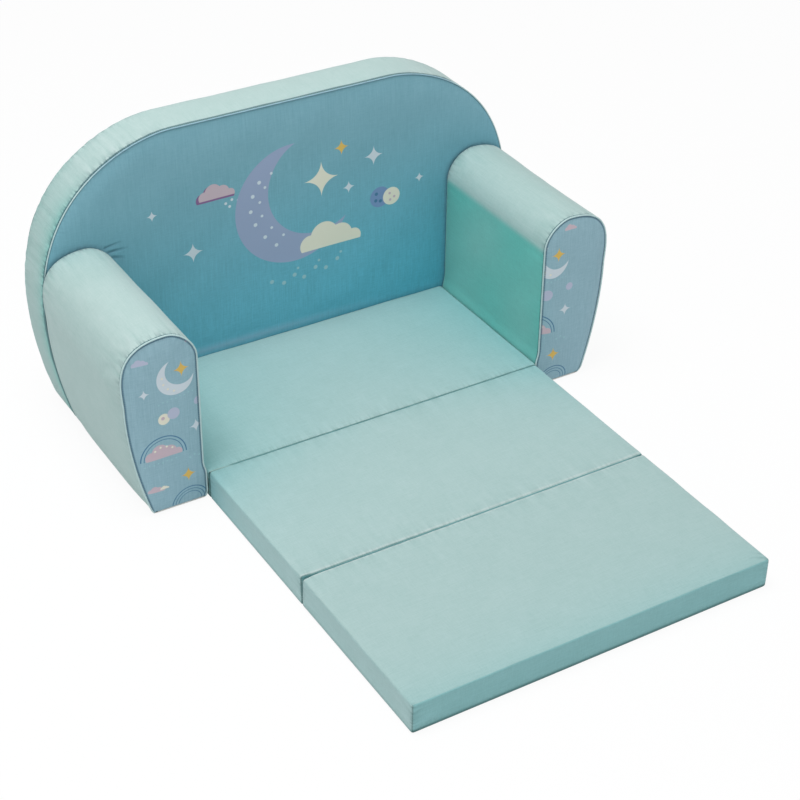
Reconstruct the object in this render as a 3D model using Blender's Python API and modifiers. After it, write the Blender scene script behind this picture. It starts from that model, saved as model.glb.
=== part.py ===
"""Children's fold-out foam sofa, opened flat: foam blocks, sewn covers, piping, rear zip and sewn folds.

Metres, +Z up. The seat faces -Y. The origin is on the floor, under the middle of the opened sofa.
"""

import math

import bmesh
import bpy
import numpy as np
from mathutils import Vector

# Sofa back, and the side outline that it shares with the arms
back_width = 0.7700
foot_tuck = 0.0312
widest_height = 0.1850
back_height = 0.4253
back_thickness = 0.0743
back_top_straight = 0.3530
foot_handle = 0.0498
side_handle = 0.0700
shoulder_rise_handle = 0.2013
shoulder_run_handle = 0.0498

# Arms
arm_width = 0.1100
arm_height = 0.2790
arm_top_from_inside = 0.0442
arm_inner_straight_height = 0.2336
arm_outer_rise_handle = 0.0235
arm_outer_run_handle = 0.0835
arm_inner_run_handle = 0.0179
arm_inner_rise_handle = 0.0260
arm_foot_bulge = 0.0039
arm_bulge_start_above_seat = 0.0162
arm_bulge_full_below_seat = 0.0054
arm_front_setback = 0.0022

# Seat slabs
slab_thickness = 0.0476
seat_depth = 0.2683
middle_depth = 0.2621
front_depth = 0.2690
fold_side_clearance = 0.0016
slab_edge_radius = 0.0050
slab_crown = 0.0015
slab_crown_width = 0.0300
rear_fold_opening = 0.0003
front_fold_opening = 0.0015
fold_seam_radius = 0.0010

# Cloth, foam and piping
cloth = 0.0012
gap = 0.0003
foam_edge_radius = 0.0060
back_piping_radius = 0.0018
back_piping_inset = 0.0008
arm_piping_radius = 0.0022
arm_piping_inset = 0.0010

# Zip in the rear cover
zip_height = 0.0450
zip_end_margin = 0.0538
zip_slot_height = 0.0090
zip_tape_thickness = 0.0006
zip_tape_width = 0.0145
zip_tape_overlap = 0.0060
zip_coil_width = 0.0044
zip_coil_thickness = 0.0016
zip_coil_end_gap = 0.0020
slider_length = 0.0100
slider_wall = 0.0012
slider_end_margin = 0.0060
arch_length = 0.0062
arch_width = 0.0020
arch_bar = 0.0010
pull_thickness = 0.0012
pull_play = 0.0004
pull_window_length = 0.0050
pull_ring_width = 0.0014
pull_tab_length = 0.0180

# Counts of straight steps along each curved stretch
side_steps = 8
shoulder_steps = 16
arm_outer_steps = 9
arm_inner_steps = 7
edge_steps = 3
crown_steps = 3
pull_round_steps = 8

# Places worked out from the sizes above; Y runs from the rear fold until the whole sofa is centred
skin = cloth + gap
half_width = back_width / 2
half_base = half_width - foot_tuck
arm_inside = half_width - arm_width
arm_foot_inside = arm_inside - arm_foot_bulge
seat_half_width = arm_foot_inside - (arm_piping_radius - arm_piping_inset) - gap
fold_half_width = arm_foot_inside - fold_side_clearance
back_front_y = seat_depth
back_rear_y = seat_depth + back_thickness
seat_front_y = rear_fold_opening / 2
middle_rear_y = -rear_fold_opening / 2
middle_front_y = middle_rear_y - middle_depth
front_rear_y = middle_front_y - front_fold_opening
front_front_y = front_rear_y - front_depth
rear_hinge_z = slab_thickness + gap / 2
front_hinge_y = (middle_front_y + front_rear_y) / 2
front_hinge_z = -gap / 2
tape_outer_y = back_rear_y - skin
coil_outer_y = tape_outer_y + gap + zip_coil_thickness
slider_roof_y = coil_outer_y + gap + slider_wall
pull_y = slider_roof_y + pull_play + pull_thickness / 2
arch_top_y = pull_y + pull_thickness / 2 + pull_play + arch_bar
centre_y = (arch_top_y + front_front_y) / 2
zip_length = 2 * (half_base - zip_end_margin)
slider_x = zip_length / 2 - slider_end_margin - slider_length / 2


def clear_scene():
    for old in list(bpy.data.objects):
        bpy.data.objects.remove(old, do_unlink=True)


def new_collection(name):
    made = bpy.data.collections.new(name)
    bpy.context.scene.collection.children.link(made)
    return made


clear_scene()
sofa = new_collection("fold_out_sofa")
cutters = new_collection("cutters")


def linear(level):
    """One 8-bit screen colour level as a linear one."""
    share = level / 255
    return share / 12.92 if share <= 0.04045 else ((share + 0.055) / 1.055) ** 2.4


def new_material(name, screen_colour, roughness, metallic=0.0):
    made = bpy.data.materials.new(name)
    made.use_nodes = True
    shader = made.node_tree.nodes["Principled BSDF"]
    colour = [linear(level) for level in screen_colour] + [1.0]
    shader.inputs["Base Color"].default_value = colour
    shader.inputs["Roughness"].default_value = roughness
    shader.inputs["Metallic"].default_value = metallic
    made.diffuse_color = colour
    return made


mint_cloth = new_material("mint_cloth", (168, 200, 198), 0.85)
blue_cloth = new_material("blue_cloth", (104, 154, 172), 0.80)
dusty_blue_cloth = new_material("dusty_blue_cloth", (118, 157, 174), 0.80)
pale_piping = new_material("pale_piping", (188, 216, 212), 0.75)
grey_underside = new_material("grey_underside", (203, 205, 203), 0.90)
white_foam = new_material("white_foam", (236, 233, 220), 0.95)
zip_tape = new_material("zip_tape", (142, 176, 176), 0.85)
zip_nylon = new_material("zip_nylon", (176, 198, 196), 0.45)
zip_metal = new_material("zip_metal", (176, 178, 180), 0.35, 1.0)


def keep(thing, material):
    thing.data.materials.clear()
    thing.data.materials.append(material)
    sofa.objects.link(thing)
    return thing


def as_cutter(thing):
    thing.hide_render = True
    thing.display_type = "WIRE"
    cutters.objects.link(thing)
    return thing


def shade(mesh):
    mesh.shade_smooth()
    mesh.set_sharp_from_angle(angle=math.radians(35))


# Outlines are open paths in (x, z): up the right side, over the top, down to the other foot
def bezier(start, start_handle, end_handle, end, steps):
    """The points after the start of one cubic curve."""
    share = np.linspace(0, 1, steps + 1)[1:, None]
    rest = 1 - share
    ends = rest**3 * np.array(start) + share**3 * np.array(end)
    return ends + 3 * rest**2 * share * np.array(start_handle) + 3 * rest * share**2 * np.array(end_handle)


def side_path():
    """From the right foot up to the widest place."""
    foot = (half_base, 0)
    widest = (half_width, widest_height)
    leaning = ((half_base + half_width) / 2, foot_handle)
    below = (half_width, widest_height - side_handle)
    return np.vstack([[foot], bezier(foot, leaning, below, widest, side_steps)])


def back_path():
    widest = (half_width, widest_height)
    top = (back_top_straight / 2, back_height)
    above = (half_width, widest_height + shoulder_rise_handle)
    outward = (back_top_straight / 2 + shoulder_run_handle, back_height)
    right = np.vstack([side_path(), bezier(widest, above, outward, top, shoulder_steps)])
    return np.vstack([right, right[::-1] * (-1, 1)])


def arm_path():
    widest = (half_width, widest_height)
    top = (arm_inside + arm_top_from_inside, arm_height)
    inner = (arm_inside, arm_inner_straight_height)
    above = (half_width, widest_height + arm_outer_rise_handle)
    outward = (top[0] + arm_outer_run_handle, arm_height)
    inward = (top[0] - arm_inner_run_handle, arm_height)
    over = (arm_inside, arm_inner_straight_height + arm_inner_rise_handle)
    foot = [
        (arm_inside, slab_thickness + arm_bulge_start_above_seat),
        (arm_foot_inside, slab_thickness - arm_bulge_full_below_seat),
        (arm_foot_inside, 0),
    ]
    return np.vstack(
        [
            side_path(),
            bezier(widest, above, outward, top, arm_outer_steps),
            bezier(top, inward, over, inner, arm_inner_steps),
            foot,
        ]
    )


def drawn_in(path, inset, low):
    """The path moved inward by the inset, its two ends cut at the height low."""
    along = np.diff(path, axis=0)
    along /= np.linalg.norm(along, axis=1)[:, None]
    inward = np.stack([-along[:, 1], along[:, 0]], axis=1)
    before = np.vstack([inward[:1], inward])
    after = np.vstack([inward, inward[-1:]])
    mitre = (before + after) / (1 + (before * after).sum(axis=1))[:, None]
    moved = path + inset * mitre
    for end, beside in ((0, 1), (-1, -2)):
        rise = (low - moved[end, 1]) / (moved[beside, 1] - moved[end, 1])
        moved[end] += rise * (moved[beside] - moved[end])
    return moved


def mirrored(path, side):
    return path * (side, 1)


# Solids from outlines
def add_spline(curve, places):
    """A straight-run spline through (x, y, z) places."""
    spline = curve.splines.new("POLY")
    spline.points.add(len(places) - 1)
    spline.points.foreach_set("co", np.column_stack([places, np.ones(len(places))]).ravel())
    return spline


def flat_curve(name, outlines, thickness):
    """A plate: closed outlines in a 2D curve, the later ones as holes, extruded along the curve's own Z."""
    curve = bpy.data.curves.new(name, "CURVE")
    curve.dimensions = "2D"
    curve.fill_mode = "BOTH"
    curve.extrude = thickness / 2
    for outline in outlines:
        places = np.column_stack([outline, np.zeros(len(outline))])
        add_spline(curve, places).use_cyclic_u = True
    return bpy.data.objects.new(name, curve)


def upright_plate(name, outlines, front_y, rear_y, material):
    """A plate whose outline is in (x, z), standing between two planes of constant Y."""
    plate = flat_curve(name, outlines, rear_y - front_y)
    plate.rotation_euler = (math.radians(90), 0, 0)
    plate.location = (0, (front_y + rear_y) / 2 - centre_y, 0)
    return keep(plate, material)


def upright_block(name, path, front_y, rear_y, edge_radius, material):
    """A foam block: the plate as a mesh, with flat ends and eased edges."""
    plate = upright_plate("outline", [path], front_y, rear_y, material)
    bpy.context.view_layer.update()
    evaluated = plate.evaluated_get(bpy.context.evaluated_depsgraph_get())
    mesh = bpy.data.meshes.new_from_object(evaluated)
    block = bpy.data.objects.new(name, mesh)
    block.matrix_world = plate.matrix_world
    bpy.data.objects.remove(plate)
    shape = bmesh.new()
    shape.from_mesh(mesh)
    bmesh.ops.remove_doubles(shape, verts=shape.verts, dist=gap / 10)
    bmesh.ops.dissolve_limit(shape, angle_limit=math.radians(0.5), verts=shape.verts, edges=shape.edges)
    round_edges(shape, edge_radius)
    shape.to_mesh(mesh)
    shape.free()
    shade(mesh)
    return keep(block, material)


def round_edges(shape, radius):
    """Rounds each edge where two faces meet at more than 60 degrees."""
    steep = math.radians(60)
    sharp = [edge for edge in shape.edges if edge.is_manifold and edge.calc_face_angle() > steep]
    bmesh.ops.bevel(
        shape,
        geom=sharp,
        offset=radius,
        offset_type="OFFSET",
        segments=edge_steps,
        profile=0.5,
        affect="EDGES",
    )


def strip(name, path, side, front_y, rear_y, material):
    """A cloth strip of even thickness that follows the path from foot to foot."""
    outline = np.vstack([drawn_in(path, 0, 0), drawn_in(path, cloth, 0)[::-1]])
    return upright_plate(name, [mirrored(outline, side)], front_y, rear_y, material)


def cord(name, places, radius, material):
    """A round cord through (x, y, z) places, with closed ends."""
    curve = bpy.data.curves.new(name, "CURVE")
    curve.dimensions = "3D"
    curve.bevel_depth = radius
    curve.bevel_resolution = 2
    curve.use_fill_caps = True
    add_spline(curve, places)
    return keep(bpy.data.objects.new(name, curve), material)


def piping(name, path, side, inset, y, radius, material):
    """A cord along the path, from floor to floor."""
    run = mirrored(drawn_in(path, inset, radius), side)
    places = np.column_stack([run[:, 0], np.full(len(run), y - centre_y), run[:, 1]])
    return cord(name, places, radius, material)


def box(name, low, high):
    """A box between two corners, with its origin at its centre."""
    mesh = bpy.data.meshes.new(name)
    shape = bmesh.new()
    bmesh.ops.create_cube(shape, size=1)
    bmesh.ops.scale(shape, vec=Vector(high) - Vector(low), verts=shape.verts)
    shape.to_mesh(mesh)
    shape.free()
    made = bpy.data.objects.new(name, mesh)
    made.location = (Vector(low) + Vector(high)) / 2 - Vector((0, centre_y, 0))
    return made


def hang(pieces, holder):
    """Parents pieces to an unturned empty and leaves them where they are."""
    for piece in pieces:
        piece.parent = holder
        piece.location -= holder.location


def axis_empty(name, place):
    empty = bpy.data.objects.new(name, None)
    empty.location = Vector(place) - Vector((0, centre_y, 0))
    sofa.objects.link(empty)
    return empty


# Seat slabs: a rounded box whose top rises a little from each edge
def slab(name, half, low_y, high_y, inset, material):
    """The slab drawn in all round by the inset. It stands on the floor plane raised by the inset."""
    size_x = 2 * (half - inset)
    size_y = high_y - low_y - 2 * inset
    size_z = slab_thickness - slab_crown - 2 * inset
    mesh = bpy.data.meshes.new(name)
    shape = bmesh.new()
    bmesh.ops.create_cube(shape, size=1)
    bmesh.ops.scale(shape, vec=(size_x, size_y, size_z), verts=shape.verts)
    top = max(shape.faces, key=lambda face: face.calc_center_median().z)
    for step in range(crown_steps):
        rise_share = ((crown_steps - step) ** 2 - (crown_steps - step - 1) ** 2) / crown_steps**2
        bmesh.ops.inset_region(
            shape, faces=[top], thickness=slab_crown_width / crown_steps, depth=slab_crown * rise_share
        )
    round_edges(shape, slab_edge_radius - inset)
    shape.to_mesh(mesh)
    shape.free()
    made = bpy.data.objects.new(name, mesh)
    made.location = (0, (low_y + high_y) / 2 - centre_y, inset + size_z / 2)
    return keep(made, material)


def slab_cover(name, half, low_y, high_y):
    """Top and sides in one piece of cloth, open underneath inside the rounded lower edge."""
    cover = slab(name, half, low_y, high_y, 0, mint_cloth)
    shape = bmesh.new()
    shape.from_mesh(cover.data)
    bottom = min(shape.faces, key=lambda face: face.calc_center_median().z)
    bmesh.ops.delete(shape, geom=[bottom], context="FACES")
    shape.to_mesh(cover.data)
    shape.free()
    shade(cover.data)
    thick = cover.modifiers.new("cloth", "SOLIDIFY")
    thick.thickness = cloth
    thick.offset = -1
    thick.use_even_offset = True
    return cover


def slab_bottom_cloth(name, half, low_y, high_y):
    inset = slab_edge_radius + cloth
    cloth_sheet = box(name, (inset - half, low_y + inset, 0), (half - inset, high_y - inset, cloth))
    return keep(cloth_sheet, mint_cloth)


def cushion(name, half, low_y, high_y):
    foam = slab(name + "_foam", half, low_y, high_y, skin, white_foam)
    shade(foam.data)
    cover = slab_cover(name + "_cover", half, low_y, high_y)
    bottom = slab_bottom_cloth(name + "_bottom_cloth", half, low_y, high_y)
    return [foam, cover, bottom]


def groove_depth(opening):
    """How deep below the slabs' edge height a fold seam's centre lies, resting between two rounded edges."""
    reach = slab_edge_radius + fold_seam_radius + gap
    return slab_edge_radius - math.sqrt(reach**2 - (slab_edge_radius + opening / 2) ** 2)


def fold_seam(name, y, z):
    half = fold_half_width - slab_edge_radius
    ends = [(-half, y - centre_y, z), (half, y - centre_y, z)]
    return cord(name, ends, fold_seam_radius, mint_cloth)


def build_seat():
    cushion("seat_base", seat_half_width, seat_front_y, back_front_y - gap)
    fold_seam("rear_fold_seam", 0, slab_thickness - slab_crown - groove_depth(rear_fold_opening))

    middle_axis = axis_empty("middle_panel_axis", (0, 0, rear_hinge_z))
    middle = cushion("middle_panel", fold_half_width, middle_front_y, middle_rear_y)
    middle.append(fold_seam("front_fold_seam", front_hinge_y, groove_depth(front_fold_opening)))
    front_axis = axis_empty("front_panel_axis", (0, front_hinge_y, front_hinge_z))
    front = cushion("front_panel", fold_half_width, front_front_y, front_rear_y)
    hang(front, front_axis)
    hang([*middle, front_axis], middle_axis)


def build_arm(name, side):
    path = arm_path()
    front = arm_front_setback
    rear = back_front_y - gap
    tube_y = front + arm_piping_inset
    wrap_front = tube_y + arm_piping_radius + gap
    foam_outline = mirrored(drawn_in(path, skin, skin), side)
    panel_outline = mirrored(drawn_in(path, arm_piping_inset + arm_piping_radius + gap, 0), side)

    upright_block(name + "_foam", foam_outline, front + skin, rear, foam_edge_radius, white_foam)
    strip(name + "_wrap_cover", path, side, wrap_front, rear, mint_cloth)
    upright_plate(name + "_front_cover", [panel_outline], front, front + cloth, dusty_blue_cloth)
    piping(name + "_piping", path, side, arm_piping_inset, tube_y, arm_piping_radius, pale_piping)
    ends = sorted([side * (arm_foot_inside + skin), side * (half_base - 2 * skin)])
    base = box(name + "_base_cloth", (ends[0], front + skin, 0), (ends[1], rear, cloth))
    keep(base, grey_underside)


def build_back():
    path = back_path()
    front = back_front_y
    rear = back_rear_y
    tube_y = front + back_piping_radius
    band_front = tube_y + back_piping_radius + gap
    foam_rear = tape_outer_y - zip_tape_thickness - gap
    foam_outline = drawn_in(path, skin, skin)
    front_outline = drawn_in(path, back_piping_inset + back_piping_radius + gap, 0)
    rear_outline = drawn_in(path, skin, 0)

    upright_block("back_foam", foam_outline, front + skin, foam_rear, foam_edge_radius, white_foam)
    upright_plate("back_front_cover", [front_outline], front, front + cloth, blue_cloth)
    strip("back_band_cover", path, 1, band_front, rear, mint_cloth)
    upright_plate("back_rear_cover", [rear_outline, slot_outline()], rear - cloth, rear, mint_cloth)
    piping("back_front_piping", path, 1, back_piping_inset, tube_y, back_piping_radius, pale_piping)
    half = half_base - 2 * skin
    base = box("back_base_cloth", (-half, front + skin, 0), (half, rear - skin, cloth))
    keep(base, grey_underside)


def slot_outline():
    half = zip_length / 2
    low = zip_height - zip_slot_height / 2
    high = zip_height + zip_slot_height / 2
    return np.array([(-half, low), (half, low), (half, high), (-half, high)])


def build_zip():
    half = zip_length / 2 + zip_tape_overlap
    inner_y = tape_outer_y - zip_tape_thickness
    for name, side in (("upper", 1), ("lower", -1)):
        ends = sorted([zip_height + side * gap / 2, zip_height + side * zip_tape_width])
        tape = box(f"rear_zip_{name}_tape", (-half, inner_y, ends[0]), (half, tape_outer_y, ends[1]))
        keep(tape, zip_tape)
    half = zip_length / 2 - zip_coil_end_gap
    coil = box(
        "rear_zip_coil",
        (-half, tape_outer_y + gap, zip_height - zip_coil_width / 2),
        (half, coil_outer_y, zip_height + zip_coil_width / 2),
    )
    keep(coil, zip_nylon)
    slider_axis = axis_empty("rear_zip_slider_place", (slider_x, slider_roof_y, zip_height))
    pull_axis = axis_empty("rear_zip_pull_axis", (slider_x, pull_y, zip_height))
    hang(build_slider(), slider_axis)
    hang([build_pull()], pull_axis)
    hang([pull_axis], slider_axis)


def build_slider():
    """A roof with two side walls round the coil, and an arch on top that holds the pull."""
    wall_in = zip_coil_width / 2 + gap
    wall_out = wall_in + slider_wall
    ends = (slider_x - slider_length / 2, slider_x + slider_length / 2)
    body = box(
        "rear_zip_slider",
        (ends[0], tape_outer_y + gap, zip_height - wall_out),
        (ends[1], slider_roof_y, zip_height + wall_out),
    )
    keep(body, zip_metal)
    channel = box(
        "slider_channel",
        (ends[0] - cloth, tape_outer_y - cloth, zip_height - wall_in),
        (ends[1] + cloth, slider_roof_y - slider_wall, zip_height + wall_in),
    )
    arch = box(
        "slider_arch",
        (slider_x - arch_length / 2, slider_roof_y - slider_wall / 2, zip_height - arch_width / 2),
        (slider_x + arch_length / 2, arch_top_y, zip_height + arch_width / 2),
    )
    eye_half = arch_length / 2 - arch_bar
    eye = box(
        "slider_eye",
        (slider_x - eye_half, slider_roof_y, zip_height - arch_width),
        (slider_x + eye_half, arch_top_y - arch_bar, zip_height + arch_width),
    )
    for other, operation in ((channel, "DIFFERENCE"), (arch, "UNION"), (eye, "DIFFERENCE")):
        change = body.modifiers.new(other.name, "BOOLEAN")
        change.operation = operation
        change.object = as_cutter(other)
    return [body, channel, arch, eye]


def build_pull():
    """A flat ring whose end bar lies under the arch, with a tab that has a round end."""
    bar = pull_thickness / 2
    window_half = arch_width / 2 + pull_play
    half = window_half + pull_ring_width
    window_end = bar + pull_window_length
    tab_end = window_end + pull_tab_length
    turn = np.linspace(-math.pi / 2, math.pi / 2, pull_round_steps + 1)
    round_end = np.column_stack([tab_end - half + half * np.cos(turn), half * np.sin(turn)])
    outline = np.vstack([[(-bar, half), (-bar, -half)], round_end]) * (-1, 1)
    sides = [(bar, window_half), (bar, -window_half), (window_end, -window_half), (window_end, window_half)]
    pull = flat_curve("rear_zip_pull", [outline, np.array(sides) * (-1, 1)], pull_thickness)
    pull.rotation_euler = (math.radians(90), 0, 0)
    pull.location = (slider_x, pull_y - centre_y, zip_height)
    return keep(pull, zip_metal)


build_back()
build_zip()
build_arm("right_arm", 1)
build_arm("left_arm", -1)
build_seat()
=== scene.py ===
import math
import bpy
import numpy as np
from mathutils import Matrix, Vector


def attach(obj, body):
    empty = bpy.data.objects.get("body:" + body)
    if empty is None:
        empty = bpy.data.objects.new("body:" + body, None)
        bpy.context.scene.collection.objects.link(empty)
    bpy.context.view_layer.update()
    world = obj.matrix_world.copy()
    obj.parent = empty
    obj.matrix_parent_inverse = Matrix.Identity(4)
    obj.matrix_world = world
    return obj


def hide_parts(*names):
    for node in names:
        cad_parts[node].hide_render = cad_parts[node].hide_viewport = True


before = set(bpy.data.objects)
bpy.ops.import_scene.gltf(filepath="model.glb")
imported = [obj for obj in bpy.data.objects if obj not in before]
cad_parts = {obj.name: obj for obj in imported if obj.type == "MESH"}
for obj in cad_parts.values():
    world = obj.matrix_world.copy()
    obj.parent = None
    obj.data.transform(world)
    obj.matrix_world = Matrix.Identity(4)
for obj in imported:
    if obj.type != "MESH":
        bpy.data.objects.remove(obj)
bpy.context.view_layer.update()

print("stage: frame loaded,", len(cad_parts), "nodes")

seatFront, seatRear = 0.092925, 0.360625  # the seat base, along Y
middleFront, middleRear = -0.169625, 0.092325
matFront, matRear = -0.440125, -0.171125  # the front panel
rearFold, frontFold = 0.092625, -0.170375
seatTop = 0.0476
backFront, backRear = 0.360925, 0.435225  # the sofa back's two faces
armFront, armRear = 0.094825, 0.360625


def addObject(name, data, placed=None):
    made = bpy.data.objects.new(name, data)
    if placed:
        made.matrix_world = placed
    bpy.context.scene.collection.objects.link(made)
    return made


# camera at the photograph's angle
cameraView = dict(place=(-1.116, -1.789, 1.547), yaw=31.43, pitch=33.97, roll=0.75, lens=83.754)


def addCamera(view):
    # yaw turns it from +Y towards +X, pitch tips it down, and roll turns it round its own line of sight
    yaw, pitch, roll = (math.radians(view[name]) for name in ("yaw", "pitch", "roll"))
    placed = Matrix.Translation(view["place"])
    for angle, axis in ((-yaw, "Z"), (math.pi / 2 - pitch, "X"), (roll, "Z")):
        placed = placed @ Matrix.Rotation(angle, 4, axis)
    camera = addObject("camera", bpy.data.cameras.new("camera"), placed)
    camera.data.lens, camera.data.sensor_width = view["lens"], 36
    camera.data.clip_start, camera.data.clip_end = 0.05, 60
    bpy.context.scene.camera = camera


addCamera(cameraView)


# meshes from arrays
def inRow(values, kind=np.float32):
    # values in one row, as foreach_set takes them
    return np.ascontiguousarray(values, kind).ravel()


def newMesh(name, places, faces, uv=None):
    # faces are rows of equal length, or a tuple of such blocks; uv gives one pair for each corner of each face
    blocks = faces if isinstance(faces, tuple) else (faces,)
    corners = np.concatenate([np.full(len(rows), rows.shape[1]) for rows in blocks])
    mesh = bpy.data.meshes.new(name)
    mesh.vertices.add(len(places))
    mesh.vertices.foreach_set("co", inRow(places))
    mesh.loops.add(int(corners.sum()))
    mesh.loops.foreach_set("vertex_index", np.concatenate([inRow(rows, np.int32) for rows in blocks]))
    mesh.polygons.add(len(corners))
    mesh.polygons.foreach_set("loop_start", inRow(np.cumsum(corners) - corners, np.int32))
    mesh.update(calc_edges=True)
    if uv is not None:
        mesh.uv_layers.new(name="clothUV").uv.foreach_set("vector", inRow(uv))
    mesh.validate()
    mesh.shade_smooth()
    return mesh


def newPiece(name, places, faces, material, uv=None):
    piece = addObject(name, newMesh(name, places, faces, uv))
    piece.data.materials.append(material)
    return piece


def carry(mesh, title, values):
    # writes a vector for each point into an attribute of the mesh
    mesh.attributes.new(title, "FLOAT_VECTOR", "POINT").data.foreach_set("vector", inRow(values))


def readBack(source, channel, shape, kind=np.float32):
    # one value, or row of values, of each item in a mesh's list
    values = np.empty(np.prod(shape), kind)
    source.foreach_get(channel, values)
    return values.reshape(shape)


def removeShell(shell):
    mesh = shell.data
    bpy.data.objects.remove(shell)
    bpy.data.meshes.remove(mesh)


def ripple(places, wavelength, seed, count=7):
    # smooth noise from -1 to 1: a sum of sine waves of about one wavelength in seeded directions
    dice = np.random.default_rng(seed)
    heading = unit(dice.normal(size=(count, places.shape[1])))
    number = 2 * np.pi / (wavelength * dice.uniform(0.7, 1.5, count))
    phase = dice.uniform(0, 2 * np.pi, count)
    return np.sin(places @ (heading * number[:, None]).T + phase).sum(axis=1) / math.sqrt(count) / 1.5


def unit(rows):
    # each row shortened or stretched to length 1
    return rows / np.linalg.norm(rows, axis=1)[:, None]


def ramp(value, low, high):
    # 0 below low and 1 above high, with a cubic ease between
    share = np.clip((value - low) / (high - low), 0, 1)
    return share * share * (3 - 2 * share)


def fading(distance, reach):
    # 1 at no distance, falling by a factor e over each reach
    return np.exp(-np.maximum(distance, 0) / reach)


def hump(value, middle, width):
    # a bell curve, 1 at the middle
    return np.exp(-(((value - middle) / width) ** 2))


# block forms: the outside of a box lattice, its cross-section drawn to the piece's outline
sideNames = ("left", "right", "front", "rear", "bottom", "top")


def latticeShell(across, deep, high):
    # each outside point of a lattice of so many cells, once, and the outside quads, turned outwards
    index = np.full((across + 1, deep + 1, high + 1), -1)
    outside = np.ones(index.shape, bool)
    outside[1:-1, 1:-1, 1:-1] = False
    index[outside] = np.arange(outside.sum())
    faces, sides = [], []
    sheets = (index[0], index[-1], index[:, 0], index[:, -1], index[:, :, 0], index[:, :, -1])
    for number, (sheet, turned) in enumerate(zip(sheets, (1, 0, 0, 1, 1, 0))):
        quads = np.stack([sheet[:-1, :-1], sheet[1:, :-1], sheet[1:, 1:], sheet[:-1, 1:]], -1).reshape(-1, 4)
        faces.append(quads[:, ::-1] if turned else quads)
        sides.append(np.full(len(quads), number))
    return np.argwhere(outside), np.vstack(faces), np.concatenate(sides)


def spread(length, cells, edge):
    # places from 0 to length: small steps by each end, as the edge list gives, and even steps between
    start = np.cumsum([0, *edge])
    middle = np.linspace(start[-1], length - start[-1], cells + 1)
    return np.concatenate([start[:-1], middle, length - start[:-1][::-1]])


def runAlong(path):
    # the length of a path up to each of its points
    return np.concatenate([[0], np.cumsum(np.linalg.norm(np.diff(path, axis=0), axis=1))])


def alongPath(path, shares):
    # points at shares of a path's length
    run = runAlong(path)
    return np.stack([np.interp(shares * run[-1], run, values) for values in path.T], -1)


def filledSection(bottom, top, left, right, u, v):
    # a grid inside four edges, each edge's shape blended towards the opposite one and the corners counted
    # once; the top's shape fades fast downwards, so that the low rows stay level
    w = (v**3)[None, :, None]
    u = u[:, None, None]
    corner = (1 - u) * ((1 - w) * bottom[0] + w * top[0]) + u * ((1 - w) * bottom[-1] + w * top[-1])
    return (1 - w) * bottom[:, None] + w * top[:, None] + (1 - u) * left[None] + u * right[None] - corner


def nearOutline(points, path):
    # each point's distance from a polyline, and how far along the line the nearest place lies
    step = np.diff(path, axis=0)
    length = np.hypot(*step.T)
    best, run = np.full(len(points), 9.0), np.zeros(len(points))
    for near, stretch, size, before in zip(path, step, length, np.cumsum(length) - length):
        share = np.clip(((points - near) @ stretch) / size**2, 0, 1)
        gap = np.hypot(*(points - near - share[:, None] * stretch).T)
        closer = gap < best
        best, run = np.where(closer, gap, best), np.where(closer, before + share * size, run)
    return best, run


def bezier(start, startHandle, endHandle, end, steps):
    # a cubic curve's points, without its start
    share = np.linspace(0, 1, steps + 1)[1:, None]
    rest = 1 - share
    ends = rest**3 * np.array(start) + share**3 * np.array(end)
    return ends + 3 * rest**2 * share * np.array(startHandle) + 3 * rest * share**2 * np.array(endHandle)


# outline curves in (x, z): start, two handles, end and number of steps
sideCurve = ((0.3538, 0), (0.3694, 0.0498), (0.385, 0.185 - 0.07), (0.385, 0.185), 24)
shoulderCurve = ((0.385, 0.185), (0.385, 0.3863), (0.2263, 0.4253), (0.1765, 0.4253), 48)
armOuterCurve = ((0.385, 0.185), (0.385, 0.2085), (0.4027, 0.279), (0.3192, 0.279), 32)
armInnerCurve = ((0.3192, 0.279), (0.3013, 0.279), (0.275, 0.2596), (0.275, 0.2336), 20)
armFootCurve = ((0.275, 0.0638), (0.275, 0.0558), (0.2711, 0.0502), (0.2711, 0.0422), 8)
# paths from the outer foot up and over to the other foot; the back and the arms share their outer side
sidePath = np.vstack([sideCurve[:1], bezier(*sideCurve)])
rightHalf = np.vstack([sidePath, bezier(*shoulderCurve)])
backPath = np.vstack([rightHalf, rightHalf[::-1] * (-1, 1)])
armTop = np.vstack([sidePath, bezier(*armOuterCurve), bezier(*armInnerCurve)])
armPath = np.vstack([armTop, armFootCurve[:1], bezier(*armFootCurve), [(0.2711, 0)]])


class Block:
    # one foam form with its cover: lattice points, their place at rest, and the side that each quad is on
    def __init__(self, name, places, faces, sides):
        self.name, self.places, self.faces, self.sides, self.rest = name, places, faces, sides, places.copy()
        self.body = name if name in ("middle_panel", "front_panel") else "sofa_body"


footEase = 0.015  # rounding of the covers where they turn under the foot


def easeIn(gap, width):
    # how far a rounded edge draws in at a gap from it: most at the edge, none a width away
    return 0.293 * width * np.clip(1 - gap / width, 0, 1) ** 2


seamSoft = 0.006  # width of the rounding beside the seams
seamSteps = (0.0022, 0.0035, 0.0055)  # lattice steps there


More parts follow.
